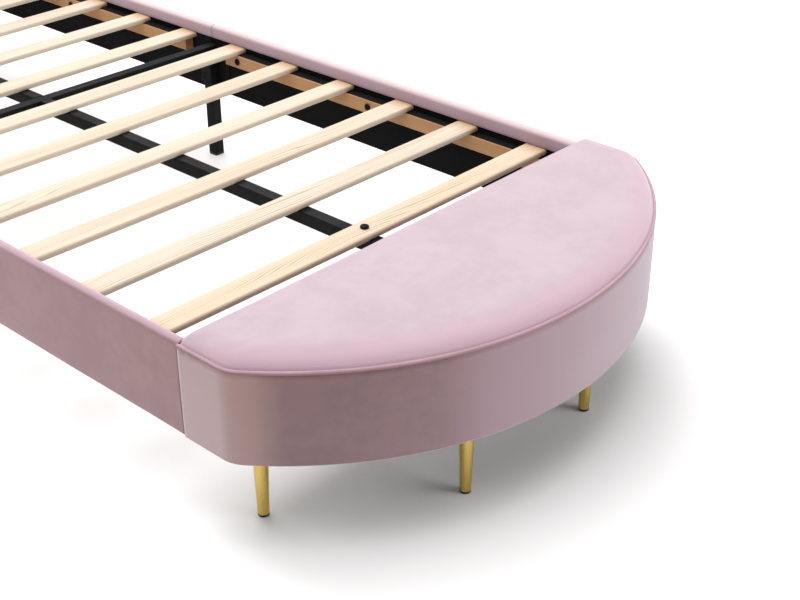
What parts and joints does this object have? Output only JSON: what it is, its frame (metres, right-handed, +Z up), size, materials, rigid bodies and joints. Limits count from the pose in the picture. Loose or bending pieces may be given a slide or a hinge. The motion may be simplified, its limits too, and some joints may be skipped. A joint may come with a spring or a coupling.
{
  "type": "bed",
  "caption": "Single bed with a padded half-round foot bench on tapered gold legs, padded side rails, wooden slats on a black steel frame and an arched padded headboard",
  "frame": {"origin": "on the floor, under the middle of the bed's outline", "axes": "+X to the right as seen from the foot, +Y from the foot bench to the headboard, +Z up"},
  "size_m": [0.965, 2.4159, 0.996],
  "materials": {
    "velvet": "short pile velvet",
    "black_cloth": "matt",
    "plywood": "raw",
    "pine": "planed",
    "black_steel": "satin",
    "gold_metal": "polished",
    "black_plastic": "matt"
  },
  "bodies": {
    "root": {"bench_back_board": "plywood", "bench_back_cloth": "black_cloth", "bench_base_board": "plywood", "bench_dust_cover": "black_cloth", "bench_front_board": "plywood", "bench_leg_left_back": "gold_metal", "bench_leg_left_front": "gold_metal", "bench_leg_right_back": "gold_metal", "bench_leg_right_front": "gold_metal", "bench_pad": "velvet", "bench_piping": "velvet", "bench_posts": "pine", "bench_side_band": "velvet", "bench_top_board": "plywood", "cleat_left_foot": "pine", "cleat_left_head": "pine", "cleat_right_foot": "pine", "cleat_right_head": "pine", "corner_brackets": "black_steel", "crossbar": "black_steel", "dome_bolts": "black_steel", "floor_glides": "black_plastic", "frame_bolts": "black_steel", "headboard_back_cloth": "black_cloth", "headboard_board": "plywood", "headboard_cover": "velvet", "headboard_pad": "velvet", "joint_plates": "black_steel", "leg_caps": "black_plastic", "leg_plates": "black_steel", "middle_tube_foot": "black_steel", "middle_tube_head": "black_steel", "rail_board_left_foot": "plywood", "rail_board_left_head": "plywood", "rail_board_right_foot": "plywood", "rail_board_right_head": "plywood", "rail_cover_left_foot": "velvet", "rail_cover_left_head": "velvet", "rail_cover_right_foot": "velvet", "rail_cover_right_head": "velvet", "rail_lining_left_foot": "black_cloth", "rail_lining_left_head": "black_cloth", "rail_lining_right_foot": "black_cloth", "rail_lining_right_head": "black_cloth", "slat_01": "pine", "slat_02": "pine", "slat_03": "pine", "slat_04": "pine", "slat_05": "pine", "slat_06": "pine", "slat_07": "pine", "slat_08": "pine", "slat_09": "pine", "slat_10": "pine", "slat_11": "pine", "slat_12": "pine", "slat_tapes": "black_cloth", "support_leg_left": "black_steel", "support_leg_right": "black_steel", "tube_hangers": "black_steel"}
  },
  "joints": []
}
